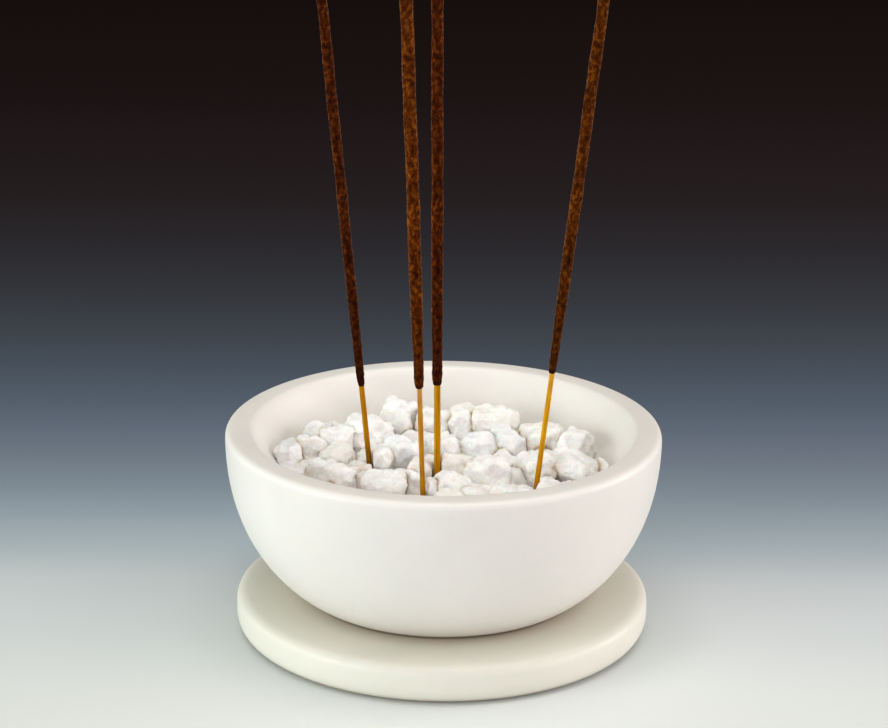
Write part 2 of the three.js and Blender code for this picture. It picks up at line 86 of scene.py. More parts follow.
def pick_edges(piece, wanted):
    """Enter edit mode with the edges selected for which wanted(one end, other end) is true."""
    pick(piece)
    bpy.ops.object.mode_set(mode="EDIT")
    bpy.ops.mesh.select_mode(type="EDGE")
    bpy.ops.mesh.select_all(action="DESELECT")
    bpy.ops.object.mode_set(mode="OBJECT")
    for edge in piece.data.edges:
        one, two = (piece.data.vertices[corner].co for corner in edge.vertices)
        edge.select = wanted(one, two)
    bpy.ops.object.mode_set(mode="EDIT")


def finish_with(piece, kind, **settings):
    """Add one modifier with these settings and apply it."""
    pick(piece)
    modifier = piece.modifiers.new(kind, kind)
    for name, value in settings.items():
        setattr(modifier, name, value)
    bpy.ops.object.modifier_apply(modifier=modifier.name)


# %% [markdown]
# ## The camera
#
# The photograph looks down on the burner at 18 degrees from two thirds of a metre away, through a long lens,
# with the camera rolled by about half a degree. These values came from fitting the rim, the coaster's edge and
# the sticks together. A wrong angle would show first in the rim's ellipse, because its height against its width
# is the sine of the angle.

# %% Camera
PICTURE_WIDTH = 888
CAMERA_TARGET = Vector((-0.09, 0, 71.99)) * MM
CAMERA_DISTANCE = 695.7 * MM
CAMERA_ELEVATION = math.radians(18.05)
CAMERA_ROLL = math.radians(0.61)
FOCAL_PIXELS = 2681
SENSOR_WIDTH = 36

clear_selection()
bpy.ops.object.camera_add()
camera = bpy.context.object
camera.name = "camera"
camera.data.sensor_width = SENSOR_WIDTH
camera.data.lens = FOCAL_PIXELS / PICTURE_WIDTH * SENSOR_WIDTH
camera.data.clip_start = 0.01
camera.data.clip_end = 20
tilt = Matrix.Rotation(math.pi / 2 - CAMERA_ELEVATION, 4, "X")
roll = Matrix.Rotation(CAMERA_ROLL, 4, "Z")
away = Vector((0, -math.cos(CAMERA_ELEVATION), math.sin(CAMERA_ELEVATION)))
camera.matrix_world = Matrix.Translation(CAMERA_TARGET + away * CAMERA_DISTANCE) @ tilt @ roll
bpy.context.scene.camera = camera
bpy.context.scene.view_settings.view_transform = "Standard"
print("camera at", [round(value / MM) for value in camera.location], "lens", round(camera.data.lens, 1))

# %% [markdown]
# ## Node helpers
#
# Every finish here is a small network of nodes on object coordinates. Helpers keep the cells short: one adds a
# node and fills in its sockets, one feeds the shader, and the others each stand for one usual node, such as a
# ramp between colours, a cloudy noise or a bump.

# %% Helpers for nodes
def new_finish(name, **sockets):
    """A material whose main shader has these plain values on its own sockets."""
    finish = bpy.data.materials.new(name)
    finish.use_nodes = True
    shader = finish.node_tree.nodes["Principled BSDF"]
    for socket, value in sockets.items():
        shader.inputs[socket.replace("_", " ")].default_value = value
    return finish


def add(finish, kind, inputs=None, **settings):
    """Add one node, set its options, and fill in or connect its inputs."""
    node = finish.node_tree.nodes.new("ShaderNode" + kind)
    for name, value in settings.items():
        setattr(node, name, value)
    for name, value in (inputs or {}).items():
        if isinstance(value, bpy.types.NodeSocket):
            finish.node_tree.links.new(value, node.inputs[name])
        else:
            node.inputs[name].default_value = value
    return node


def ramp(finish, factor, stops):
    """Colours along a value: stops are (place, colour) pairs."""
    node = add(finish, "ValToRGB", {"Fac": factor})
    elements = node.color_ramp.elements
    while len(elements) < len(stops):
        elements.new(0.5)
    for element, (place, colour) in zip(elements, stops):
        element.position = place
        element.color = (*colour, 1)
    return node.outputs["Color"]


def feed(finish, socket, value):
    """Connect a value to a socket of the main shader."""
    finish.node_tree.links.new(value, finish.node_tree.nodes["Principled BSDF"].inputs[socket])


def place_in(finish):
    """Where a point lies on the object, in metres."""
    return add(finish, "TexCoord").outputs["Object"]


def noise(finish, place, scale, detail=2.0, roughness=0.5, distortion=0.0):
    """A cloudy value between 0 and 1."""
    inputs = {"Vector": place, "Scale": scale, "Detail": detail, "Roughness": roughness, "Distortion": distortion}
    return add(finish, "TexNoise", inputs).outputs["Fac"]


def bump(finish, height, distance, strength, normal=None):
    """Raise the surface by a height between 0 and 1, over a distance in metres."""
    inputs = {"Height": height, "Distance": distance, "Strength": strength}
    if normal:
        inputs["Normal"] = normal
    return add(finish, "Bump", inputs).outputs["Normal"]


# %% [markdown]
# ## Sums and colours
#
# A node does one sum at a time. These helpers give names to the sums that come back in every finish, so that a
# recipe for a finish can be read from top to bottom.

# %% Helpers for sums and colours
def math_of(finish, operation, first, second=0.0, clamp=False):
    """One sum on two values."""
    node = add(finish, "Math", {0: first, 1: second}, operation=operation, use_clamp=clamp)
    return node.outputs["Value"]


def scaled(finish, value, scale, start):
    """A value times a scale, plus a start."""
    return math_of(finish, "ADD", math_of(finish, "MULTIPLY", value, scale), start)


def share_of(finish, value, start, length, clamp=True):
    """How far a value is along a stretch: 0 at its start and 1 at its end."""
    return math_of(finish, "DIVIDE", math_of(finish, "SUBTRACT", value, start), length, clamp=clamp)


def part_of(finish, place, axis):
    """One coordinate of a place."""
    return add(finish, "SeparateXYZ", {"Vector": place}).outputs[axis]


def blend_colours(finish, factor, first, second, mode="MIX"):
    """Two colours laid over each other."""
    node = add(finish, "Mix", data_type="RGBA", blend_type=mode)
    for socket, value in (("Factor_Float", factor), ("A_Color", first), ("B_Color", second)):
        target = next(entry for entry in node.inputs if entry.identifier == socket)
        if isinstance(value, bpy.types.NodeSocket):
            finish.node_tree.links.new(value, target)
        else:
            target.default_value = value
    return next(entry for entry in node.outputs if entry.identifier == "Result_Color")


def tint(finish, first, second):
    """One colour multiplied by another."""
    return blend_colours(finish, 1.0, first, second, "MULTIPLY")


# %% [markdown]
# ## The honed marble of the bowl and the coaster
#
# Honed marble is ground smooth but not polished: it has a soft sheen, a pale warm white body and the faintest
# grey clouds and veins. A polished finish would mirror the lamps as sharp spots. The veins are the places where
# a slow noise crosses its middle value, which gives thin wandering lines, and they are kept very weak. Painted
# shade darkens the seams brown: low on each piece, and on the coaster in a ring where the bowl's foot stands.
# Each noise below is named with its scale, detail, roughness and distortion, in that order.

# %% Honed marble
BOWL_MARBLE = (0.797, 0.762, 0.712)
# The coaster's marble is darker and yellower than the bowl's, partly as painted shade for its top under the bowl.
COASTER_MARBLE_AND_SHADE = (0.755, 0.730, 0.638)
MARBLE_VEIN = (0.66, 0.65, 0.61)
MARBLE_SPECK = (0.16, 0.14, 0.12)
CLOUDS = (26, 4, 0.55, 0.6)
CLOUD_SHADE = 0.96
VEIN_COURSE = (17, 5, 0.6, 1.4)
VEIN_PATCHES = (31,)
VEIN_SHARPNESS = 55.0
VEIN_STRENGTH = 0.4
SPECK_CELLS = 60.0
SPECK_SIZE = 0.035
UNSPECKED_SHARE = 0.93
HONED_SHEEN = (140, 3)
HONED_WAVES = (75, 2)
WAVE_DEPTH = 0.25 * MM
HONED_PORES = (1400, 3)
PORE_DEPTH = 0.02 * MM
# Painted shade in the seams: brown at the foot of each piece, and round the bowl's foot on the coaster.
SEAM_PAINTED_SHADE = (0.42, 0.33, 0.24)
SEAM_EDGE = (0.80, 0.75, 0.69)
SEAM_END = (0.94, 0.93, 0.90)
SEAM_HEIGHT = 2.2 * MM
SEAM_WIDTH = 16 * MM
SEAM_INSIDE = 5 * MM
FOOT_RADIUS = 35 * MM


def painted_shade_by_height(finish, place, foot):
    """Painted shade in a seam: brown at the foot of a piece and gone a few millimetres above it."""
    above = share_of(finish, part_of(finish, place, "Z"), foot, SEAM_HEIGHT)
    return ramp(finish, above, [(0.0, SEAM_PAINTED_SHADE), (0.35, SEAM_EDGE), (1.0, (1, 1, 1))])


def painted_shade_by_radius(finish, place, start):
    """Painted shade in the seam round a standing piece: brown at its foot, fading slowly outwards and soon inwards.
    """
    flat = add(finish, "VectorMath", {0: place, 1: (1, 1, 0)}, operation="MULTIPLY").outputs["Vector"]
    radius = add(finish, "VectorMath", {0: flat}, operation="LENGTH").outputs["Value"]
    outside = share_of(finish, radius, start, SEAM_WIDTH, clamp=False)
    inside = share_of(finish, start, radius, SEAM_INSIDE, clamp=False)
    beyond = math_of(finish, "MAXIMUM", outside, inside, clamp=True)
    return ramp(finish, beyond, [(0.0, SEAM_PAINTED_SHADE), (0.1, SEAM_EDGE), (0.45, SEAM_END), (1.0, (1, 1, 1))])


def honed_marble(name, pale, foot, ring=None):
    """Honed marble with painted shade at a foot's height and, where asked, in a ring of this radius."""
    finish = new_finish(name, Specular_IOR_Level=0.4, Subsurface_Weight=0.08, Subsurface_Scale=0.004)
    place = place_in(finish)
    cloudy = tuple(value * CLOUD_SHADE for value in pale)
    clouds = ramp(finish, noise(finish, place, *CLOUDS), [(0.35, cloudy), (0.62, pale)])
    wander = noise(finish, place, *VEIN_COURSE)
    offset = math_of(finish, "ABSOLUTE", math_of(finish, "SUBTRACT", wander, 0.5))
    vein = math_of(finish, "SUBTRACT", 1.0, math_of(finish, "MULTIPLY", offset, VEIN_SHARPNESS), clamp=True)
    strong = math_of(finish, "SUBTRACT", noise(finish, place, *VEIN_PATCHES), 0.42, clamp=True)
    patches = math_of(finish, "MULTIPLY", vein, strong)
    veined = blend_colours(finish, math_of(finish, "MULTIPLY", patches, VEIN_STRENGTH), clouds, (*MARBLE_VEIN, 1))
    cells = add(finish, "TexVoronoi", {"Vector": place, "Scale": SPECK_CELLS})
    spot = math_of(finish, "LESS_THAN", cells.outputs["Distance"], SPECK_SIZE)
    chance = add(finish, "SeparateColor", {0: cells.outputs["Color"]}).outputs[0]
    rare = math_of(finish, "GREATER_THAN", chance, UNSPECKED_SHARE)
    specked = blend_colours(finish, math_of(finish, "MULTIPLY", spot, rare), veined, (*MARBLE_SPECK, 1))
    # Painted shade at the foot and, on the coaster, in a ring round the bowl's foot.
    with_painted_shade = tint(finish, specked, painted_shade_by_height(finish, place, foot))
    if ring:
        with_painted_shade = tint(finish, with_painted_shade, painted_shade_by_radius(finish, place, ring))
    feed(finish, "Base Color", with_painted_shade)
    feed(finish, "Roughness", scaled(finish, noise(finish, place, *HONED_SHEEN), 0.16, 0.34))
    waves = bump(finish, noise(finish, place, *HONED_WAVES), WAVE_DEPTH, 0.35)
    feed(finish, "Normal", bump(finish, noise(finish, place, *HONED_PORES), PORE_DEPTH, 0.5, waves))
    return finish


BOWL_STONE = honed_marble("honed_marble", BOWL_MARBLE, foot=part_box("bowl")[0].z)
COASTER_STONE = honed_marble("honed_marble_coaster", COASTER_MARBLE_AND_SHADE, foot=0.0, ring=FOOT_RADIUS)
print("honed marble:", BOWL_STONE.name, COASTER_STONE.name)

# %% [markdown]
# ## The crushed marble
#
# A broken face of marble is a mass of small crystals, so it scatters light evenly and sparkles a little. Most
# chips are pure white, some are cream, rosy or greyish. The rosy tint of chips that lie low between others, and the
# grey of the chips at the far left in the rim's shade, are partly painted shade. The same recipe makes all four
# shades, from two tints. Painted shade darkens the colour brown low in the bed and where chips nearly touch. So
# the colour is multiplied by two ramps: one reads the height, the other an attribute, gap, that says how far the
# next chip is. Slow noise lets the painted shade come and go, because an even line round every chip would look
# drawn.

# %% Crushed marble in four shades
# The rosy tint is partly painted shade on chips that lie low, and the grey one on chips in the rim's shade.
SHADES = {
    "white": ((0.985, 0.972, 0.948), (0.935, 0.915, 0.885)),
    "cream": ((0.985, 0.960, 0.905), (0.945, 0.905, 0.835)),
    "rosy": ((0.960, 0.920, 0.880), (0.890, 0.820, 0.760)),
    "grey": ((0.965, 0.970, 0.970), (0.900, 0.905, 0.905)),
}
MOTTLING = (210, 4, 0.6, 0.4)
SPECKLES = (1300, 3, 0.7)
GRAIN_CELLS = 850.0
GRAIN_DEPTH = 0.15 * MM
LUMPS = (420, 4, 0.6)
LUMP_DEPTH = 0.6 * MM
CRYSTALS = (1500, 3, 0.7)
CRYSTAL_DEPTH = 0.25 * MM
# Painted shade: brown low in the bed and in the creases where chips nearly touch.
SHADE_DRIFTS = (100, 2)
LOW_SHADE_FOOT = 38 * MM
LOW_SHADE_HEIGHT = 7.5 * MM
LOW_SHADE_UNEVENNESS = 3 * MM
LOW_PAINTED_SHADE = [(0.0, (0.58, 0.47, 0.36)), (0.6, (0.92, 0.87, 0.80)), (1.0, (1, 1, 1))]
GAP_PAINTED_SHADE = [(0.0, (0.62, 0.49, 0.37)), (0.2, (0.90, 0.84, 0.77)), (0.45, (0.98, 0.97, 0.95)), (0.7, (1, 1, 1))]


def crushed_marble(shade):
    """Broken marble in one shade, with brown painted shade low in the bed and where chips nearly touch."""
    finish = new_finish("crushed_marble_" + shade, Specular_IOR_Level=0.35, Subsurface_Weight=0.2,
                        Subsurface_Scale=0.002)
    pale, deep = SHADES[shade]
    place = place_in(finish)
    mottled = noise(finish, place, *MOTTLING)
    body = ramp(finish, mottled, [(0.34, deep), (0.6, pale)])
    grains = add(finish, "TexVoronoi", {"Vector": place, "Scale": GRAIN_CELLS})
    grain_light = add(finish, "SeparateColor", {0: grains.outputs["Color"]}).outputs[0]
    speckled = scaled(finish, noise(finish, place, *SPECKLES), 0.26, 0.835)
    shaded = math_of(finish, "MULTIPLY", speckled, scaled(finish, grain_light, 0.07, 0.97))
    # Painted shade low in the bed, at an uneven height.
    uneven_height = scaled(finish, mottled, LOW_SHADE_UNEVENNESS, part_of(finish, place, "Z"))
    low_shade = ramp(finish, share_of(finish, uneven_height, LOW_SHADE_FOOT, LOW_SHADE_HEIGHT), LOW_PAINTED_SHADE)
    with_painted_shade = tint(finish, tint(finish, body, shaded), low_shade)
    # Painted shade in the creases where chips nearly touch, made uneven by slow noise.
    gap = add(finish, "Attribute", attribute_name="gap").outputs["Fac"]
    drifts = math_of(finish, "SUBTRACT", noise(finish, place, *SHADE_DRIFTS), 0.42)
    specks = math_of(finish, "MULTIPLY", math_of(finish, "SUBTRACT", mottled, 0.5), 0.5)
    uneven_gap = math_of(finish, "ADD", gap, scaled(finish, drifts, 1.6, specks))
    feed(finish, "Base Color", tint(finish, with_painted_shade, ramp(finish, uneven_gap, GAP_PAINTED_SHADE)))
    feed(finish, "Roughness", scaled(finish, grain_light, 0.25, 0.6))
    lumps = bump(finish, noise(finish, place, *LUMPS), LUMP_DEPTH, 0.6)
    crystals = bump(finish, noise(finish, place, *CRYSTALS), CRYSTAL_DEPTH, 0.7, lumps)
    feed(finish, "Normal", bump(finish, grains.outputs["Distance"], GRAIN_DEPTH, 0.4, crystals))
    return finish


CRUSHED_MARBLE = {shade: crushed_marble(shade) for shade in SHADES}
print("crushed marble:", ", ".join(CRUSHED_MARBLE))

# %% [markdown]
# ## Bamboo and incense paste
#
# The bare part of a stick is split bamboo, dyed or aged to a warm yellow, with a straight grain. The paste is
# sawdust and resin rolled round it: dark brown, dull and granular. Both patterns must run along the stick, so
# they read an attribute, grown, that holds each point's place on the upright stick before it was leaned.

# %% Bamboo and paste
BARE_STRETCH = (17 * MM, 43 * MM)
BAMBOO_GRAIN = (2600, 3, 0.6)
BAMBOO_SQUEEZE = 0.035
BAMBOO_PATCHES = (130, 2)
BAMBOO_DEPTH = 0.08 * MM
DARK_STRETCH = (42 * MM, 75 * MM)
PASTE_GRAINS = (1000, 3, 0.7)
PASTE_SQUEEZE = 0.7
PASTE_PATCHES = (260, 3)
PASTE_DEPTH = 0.2 * MM


def place_grown(finish, stretch):
    """The place on the upright stick, squeezed along it so that a pattern becomes grain."""
    grown = add(finish, "Attribute", attribute_name="grown").outputs["Vector"]
    return add(finish, "Mapping", {"Vector": grown, "Scale": (1, 1, stretch)}).outputs["Vector"]


def along_stick(finish, low, high):
    """How far up the upright stick a point is: 0 at one height and 1 at another."""
    grown = add(finish, "Attribute", attribute_name="grown").outputs["Vector"]
    return share_of(finish, part_of(finish, grown, "Z"), low, high - low)


def bamboo(number, foot, body, head):
    """Split bamboo with one colour at the foot, one along the middle and one under the paste."""
    finish = new_finish(f"bamboo_{number}", Specular_IOR_Level=0.04)
    grain = noise(finish, place_grown(finish, BAMBOO_SQUEEZE), *BAMBOO_GRAIN)
    # Darker towards the foot of the stick.
    colour_along_core = ramp(finish, along_stick(finish, *BARE_STRETCH), [(0.0, foot), (0.3, body), (0.7, body), (1.0, head)])
    streaks = ramp(finish, grain, [(0.3, (0.66, 0.58, 0.5)), (0.5, (1, 1, 1)), (0.72, (1.3, 1.38, 1.5))])
    patches = noise(finish, place_grown(finish, 1), *BAMBOO_PATCHES)
    dark = ramp(finish, patches, [(0.38, (0.85, 0.78, 0.7)), (0.6, (1, 1, 1))])
    feed(finish, "Base Color", tint(finish, tint(finish, colour_along_core, streaks), dark))
    feed(finish, "Roughness", scaled(finish, grain, 0.3, 0.35))
    feed(finish, "Normal", bump(finish, grain, BAMBOO_DEPTH, 0.5))
    return finish


def paste(number, body, fleck):
    """Incense paste: grains in a body colour and a lighter fleck, darker towards the lower end."""
    finish = new_finish(f"incense_paste_{number}", Specular_IOR_Level=0.03, Sheen_Weight=0.4, Sheen_Roughness=0.3,
                        Sheen_Tint=(0.95, 0.55, 0.35, 1))
    place = place_grown(finish, PASTE_SQUEEZE)
    grains = noise(finish, place, *PASTE_GRAINS)
    deep = tuple(value * 0.35 for value in body)
    colour = ramp(finish, grains, [(0.36, deep), (0.5, body), (0.66, fleck)])
    uneven = noise(finish, place, *PASTE_PATCHES)
    patches = ramp(finish, uneven, [(0.35, (0.58, 0.52, 0.5)), (0.65, (1.15, 1.15, 1.15))])
    # Darker towards the lower end of the paste.
    darker_low = ramp(finish, along_stick(finish, *DARK_STRETCH), [(0.0, (0.5, 0.45, 0.45)), (1.0, (1, 1, 1))])
    feed(finish, "Base Color", tint(finish, tint(finish, colour, patches), darker_low))
    feed(finish, "Roughness", scaled(finish, grains, 0.2, 0.75))
    feed(finish, "Normal", bump(finish, grains, PASTE_DEPTH, 0.7))
    return finish


BAMBOO_COLOURS = {
    1: ((0.15, 0.050, 0.001), (0.41, 0.168, 0.001), (0.50, 0.220, 0.003)),
    2: ((0.46, 0.19, 0.002), (0.50, 0.225, 0.012), (0.60, 0.32, 0.10)),
    3: ((0.44, 0.18, 0.001), (0.50, 0.22, 0.001), (0.50, 0.225, 0.001)),
    4: ((0.48, 0.20, 0.001), (0.66, 0.320, 0.006), (0.74, 0.375, 0.04)),
}
PASTE_COLOURS = {
    1: ((0.048, 0.0075, 0.0004), (0.125, 0.030, 0.003)),
    2: ((0.088, 0.0165, 0.0005), (0.215, 0.060, 0.004)),
    3: ((0.055, 0.0085, 0.0005), (0.145, 0.034, 0.003)),
    4: ((0.074, 0.0155, 0.0006), (0.180, 0.050, 0.004)),
}
BAMBOO = {number: bamboo(number, *colours) for number, colours in BAMBOO_COLOURS.items()}
PASTE = {number: paste(number, *colours) for number, colours in PASTE_COLOURS.items()}
print("finishes of the sticks:", len(BAMBOO) + len(PASTE))

# %% [markdown]
# ## Turning a round stone piece
#
# The bowl and the coaster are turned on a lathe, so they are made ring by ring: a circle is extruded along the
# outline and resized at each step. Spinning a profile would give the same shape, but this way the two flat ends
# stay simple faces. Curved stretches of the outline are Bezier curves, as in the CAD model.

# %% Helpers for round pieces
def bezier(points, steps):
    """Points along a Bezier curve, the first one left out."""
    curve = []
    for step in range(1, steps + 1):
        share = step / steps
        level = [Vector(point) for point in points]
        while len(level) > 1:
            level = [one.lerp(two, share) for one, two in zip(level, level[1:])]
        curve.append(tuple(level[0]))
    return curve


def turn(name, outline, sides):
    """A closed round body from (radius, height) points, upright on the origin's axis."""
    clear_selection()
    radius, height = outline[0]
    bpy.ops.mesh.primitive_circle_add(vertices=sides, radius=radius, location=(0, 0, height))
    piece = bpy.context.object
    piece.name = name
    bpy.ops.object.transform_apply()
    bpy.ops.object.mode_set(mode="EDIT")
    bpy.ops.mesh.edge_face_add()
    for next_radius, next_height in outline[1:]:
        rise = (0, 0, next_height - height)
        bpy.ops.mesh.extrude_region_move(TRANSFORM_OT_translate={"value": rise})
        growth = next_radius / radius
        bpy.ops.transform.resize(value=(growth, growth, 1), center_override=(0, 0, next_height))
        radius, height = next_radius, next_height
    bpy.ops.mesh.select_all(action="SELECT")
    bpy.ops.mesh.normals_make_consistent(inside=False)
    bpy.ops.object.mode_set(mode="OBJECT")
    bpy.ops.object.shade_smooth()
    return piece


def dress(piece, finish, slot, body, *nodes):
    """Give a piece its finish, its place in the model and the CAD nodes that it stands for."""
    piece.data.materials.clear()
    piece.data.materials.append(finish)
    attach(piece, body)
    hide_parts(*nodes)


# %% [markdown]
# ## The coaster
#
# A plain slab, flat above and below. Its top edge is softly rounded, and its lower edge is rounded further
# under, so that it seems to float a little and a finger can lift it.

# %% Coaster
STONE_SIDES = 192
COASTER_TOP_ROUNDING = 3.2 * MM
COASTER_BOTTOM_ROUNDING = 5 * MM

coaster_low, coaster_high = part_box("coaster")
edge, top = coaster_high.x, coaster_high.z
outline = [
    (edge - COASTER_BOTTOM_ROUNDING, 0),
    *bezier([(edge - COASTER_BOTTOM_ROUNDING, 0), (edge, 0), (edge, COASTER_BOTTOM_ROUNDING)], 10),
    *bezier([(edge, top - COASTER_TOP_ROUNDING), (edge, top), (edge - COASTER_TOP_ROUNDING, top)], 7),
    (edge * 0.8, top),
]
coaster = turn("marble_coaster", outline, STONE_SIDES)
dress(coaster, COASTER_STONE, "honed_marble", "coaster", "coaster")
print("coaster:", round(edge / MM, 1), "mm radius,", len(coaster.data.vertices), "points")

# %% [markdown]
# ## The bowl
#
# One block of marble, turned outside and inside. The outer wall swells quickly from a small foot and then rises
# nearly upright. The rim is a flat ring with soft edges, and the hollow is part of a ball. The outline goes once
# round the section, from the foot, over the rim and down to the middle of the hollow.

# %% Bowl
FOOT_FLARE = 1 * MM
BELLY_UPRIGHT = 32 * MM
RIM_WALL = 7 * MM
RIM_OUTER_ROUNDING = 2 * MM
RIM_INNER_ROUNDING = 2.8 * MM
HOLLOW_DEPTH = 30.5 * MM

bowl_low, bowl_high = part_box("bowl")
wall, foot, rim = bowl_high.x, bowl_low.z, bowl_high.z
mouth = wall - RIM_WALL
hollow_radius = (mouth ** 2 + HOLLOW_DEPTH ** 2) / (2 * HOLLOW_DEPTH)
hollow_centre = rim - HOLLOW_DEPTH + hollow_radius
lip_height = rim - RIM_INNER_ROUNDING
lip_angle = math.acos((hollow_centre - lip_height) / hollow_radius)
lip_radius = hollow_radius * math.sin(lip_angle)
HOLLOW_STEPS = 36


def hollow_point(step):
    """A point of the hollow's outline: step 0 at the lip and the last step in the middle."""
    angle = lip_angle * (1 - step / HOLLOW_STEPS)
    return hollow_radius * math.sin(angle), hollow_centre - hollow_radius * math.cos(angle)


shoulder = rim - RIM_OUTER_ROUNDING
swell = [(FOOT_RADIUS, foot), (FOOT_RADIUS + FOOT_FLARE, foot), (wall, shoulder - BELLY_UPRIGHT), (wall, shoulder)]
outline = [
    (FOOT_RADIUS, foot),
    *bezier(swell, 44),
    *bezier([(wall, shoulder), (wall, rim), (wall - RIM_OUTER_ROUNDING, rim)], 8),
    (mouth + RIM_INNER_ROUNDING / 2, rim),
    *bezier([(mouth + RIM_INNER_ROUNDING / 2, rim), (mouth, rim), (lip_radius, lip_height)], 8),
    *[hollow_point(step) for step in range(1, HOLLOW_STEPS)],
]
bowl = turn("marble_bowl", outline, STONE_SIDES)
dress(bowl, BOWL_STONE, "honed_marble", "bowl", "bowl")
print("bowl:", round(wall / MM, 1), "mm radius,", len(bowl.data.vertices), "points")

# %% [markdown]
# ## Where the sticks stand
#
# The chips must leave room for the four sticks, so the line of each stick is found first. It comes from the stick's
# slide joint and from the foot of its CAD core.

# %% Lines of the sticks
def line_of(number):
    """The direction of a stick and the middle of its lower end."""
    joint = next(entry for entry in frame["joints"] if entry["name"] == f"stick_{number}_pull")
    direction = Vector(joint["axis"]).normalized()
    places = [point.co for point in frame["nodes"][f"stick_{number}_core"].data.vertices]
    lowest = min(place.dot(direction) for place in places)
    foot = [place for place in places if place.dot(direction) < lowest + 0.01 * MM]
    return direction, sum(foot, Vector()) / len(foot)


def reach_of(node, direction, tip):
    """How far along the line a node starts and ends, and its radius."""
    offsets = [point.co - tip for point in frame["nodes"][node].data.vertices]
    along = [offset.dot(direction) for offset in offsets]
    radius = max((offset - direction * far).length for offset, far in zip(offsets, along))
    return min(along), max(along), radius


STICKS = {}
for number in (1, 2, 3, 4):
    direction, tip = line_of(number)
    STICKS[number] = (direction, tip, *reach_of(f"stick_{number}_core", direction, tip))
    print("stick", number, "foot at", [round(value / MM, 1) for value in tip])

# %% [markdown]
# ## The marble chips
#
# Crushed marble breaks into angular lumps, and the edges are then worn blunt by handling. Each chip starts from
# the block that the CAD model gives it, so it keeps its place and its flats against its neighbours. Its edges
# are beveled, the surface is remeshed to a fine even skin, and four textures push that skin in and out: a slow
# one for bulges, cells for the scooped faces of broken stone, lumps, and a fine one for the grain. What swells
# into a stick or through the bowl's wall is pushed back. Sculpting each chip by hand would take hours.

# %% Helpers for chips
CHIP_BEVEL = 1.1 * MM
CHIP_SKIN = 0.33 * MM
CHIP_SWELL = 1.5 * MM
CHIP_SCOOPS = 1.6 * MM
CHIP_LUMPS = 0.9 * MM
CHIP_GRAIN = 0.32 * MM
STICK_ROOM = 0.3 * MM
WALL_ROOM = 0.15 * MM


def cloud_texture(name, size, depth):
    """A cloudy texture for displacement, with clouds of this size."""
    texture = bpy.data.textures.new(name, "CLOUDS")
    texture.noise_scale = size
    texture.noise_depth = depth
    return texture


SLOW_SWELL = cloud_texture("slow_swell", 5 * MM, 1)
BROKEN_SCOOPS = bpy.data.textures.new("broken_scoops", "VORONOI")
BROKEN_SCOOPS.noise_scale = 3.6 * MM
BROKEN_SCOOPS.distance_metric = "DISTANCE_SQUARED"
BROKEN_LUMPS = cloud_texture("broken_lumps", 2.2 * MM, 2)
BROKEN_GRAIN = cloud_texture("broken_grain", 0.8 * MM, 2)
BROKEN_LAYERS = [
    (SLOW_SWELL, CHIP_SWELL, 0.3),
    (BROKEN_SCOOPS, CHIP_SCOOPS, 0.25),
    (BROKEN_LUMPS, CHIP_LUMPS, 0.4),
    (BROKEN_GRAIN, CHIP_GRAIN, 0.5),
]


def block_from(node, name):
    """A new piece with the shape of a CAD node, its loose triangles merged and flat faces whole."""
    piece = bpy.data.objects.new(name, frame["nodes"][node].data.copy())
    bpy.context.scene.collection.objects.link(piece)
    pick_whole_mesh(piece)
    bpy.ops.mesh.remove_doubles(threshold=0.01 * MM)
    bpy.ops.mesh.dissolve_limited(angle_limit=math.radians(2))
    bpy.ops.object.mode_set(mode="OBJECT")
    return piece


def keep_clear(piece):
    """Push back what swelled into a stick or through the wall of the hollow."""
    middle = Vector((0, 0, hollow_centre))
    for point in piece.data.vertices:
        for direction, tip, low, high, radius in STICKS.values():
            offset = point.co - tip
            away = offset - direction * offset.dot(direction)
            if away.length < radius + STICK_ROOM and offset.dot(direction) > -STICK_ROOM:
                point.co += away.normalized() * (radius + STICK_ROOM - away.length)
        reach = point.co - middle
        if reach.length > hollow_radius - WALL_ROOM:
            point.co = middle + reach.normalized() * (hollow_radius - WALL_ROOM)


def break_surface(piece, skin):
    """Remesh a block to a fine skin and roughen it as broken marble is."""
    finish_with(piece, "REMESH", mode="VOXEL", voxel_size=skin)
    finish_with(piece, "SMOOTH", factor=0.6, iterations=6)
    for texture, strength, middle in BROKEN_LAYERS:
        finish_with(piece, "DISPLACE", texture=texture, texture_coords="LOCAL", strength=strength, mid_level=middle)
    finish_with(piece, "SMOOTH", factor=0.5, iterations=1)
    keep_clear(piece)
    pick(piece)
    bpy.ops.object.shade_smooth()


# %% [markdown]
# ## How near the next stone is
#
# Painted shade darkens the stones where two of them nearly touch. So each point of a stone looks up the nearest
# point of its neighbours in a search tree, and keeps the distance as the attribute gap. Only neighbours whose boxes
# come near are asked, which saves most of the time.

# %% Helpers for the gaps
GAP_SHADE_REACH = 2.2 * MM


def skin_of(piece):
    """The surface of a piece, ready to be asked for its nearest point."""
    places = [point.co for point in piece.data.vertices]
    return BVHTree.FromPolygons(places, [face.vertices for face in piece.data.polygons])


def boxes_near(one, two, reach):
    """Whether the boxes of two CAD nodes come this near to each other."""
    (low_1, high_1), (low_2, high_2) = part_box(one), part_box(two)
    return all(low_1[axis] - reach < high_2[axis] and low_2[axis] - reach < high_1[axis] for axis in range(3))


def note_gaps(stones):
    """Store on each point of each stone how far the next stone is: 0 where they touch, 1 out of reach of the painted
    shade.
    """
    skins = {node: skin_of(stone) for node, stone in stones.items()}
    for node, stone in stones.items():
        others = [skins[other] for other in stones if other != node and boxes_near(node, other, 2 * GAP_SHADE_REACH)]
        gap = stone.data.attributes.new("gap", "FLOAT", "POINT")
        for value, point in zip(gap.data, stone.data.vertices):
            nearest = GAP_SHADE_REACH
            for other in others:
                distance = other.find_nearest(point.co, nearest)[3]
                nearest = nearest if distance is None else distance
            value.value = nearest / GAP_SHADE_REACH


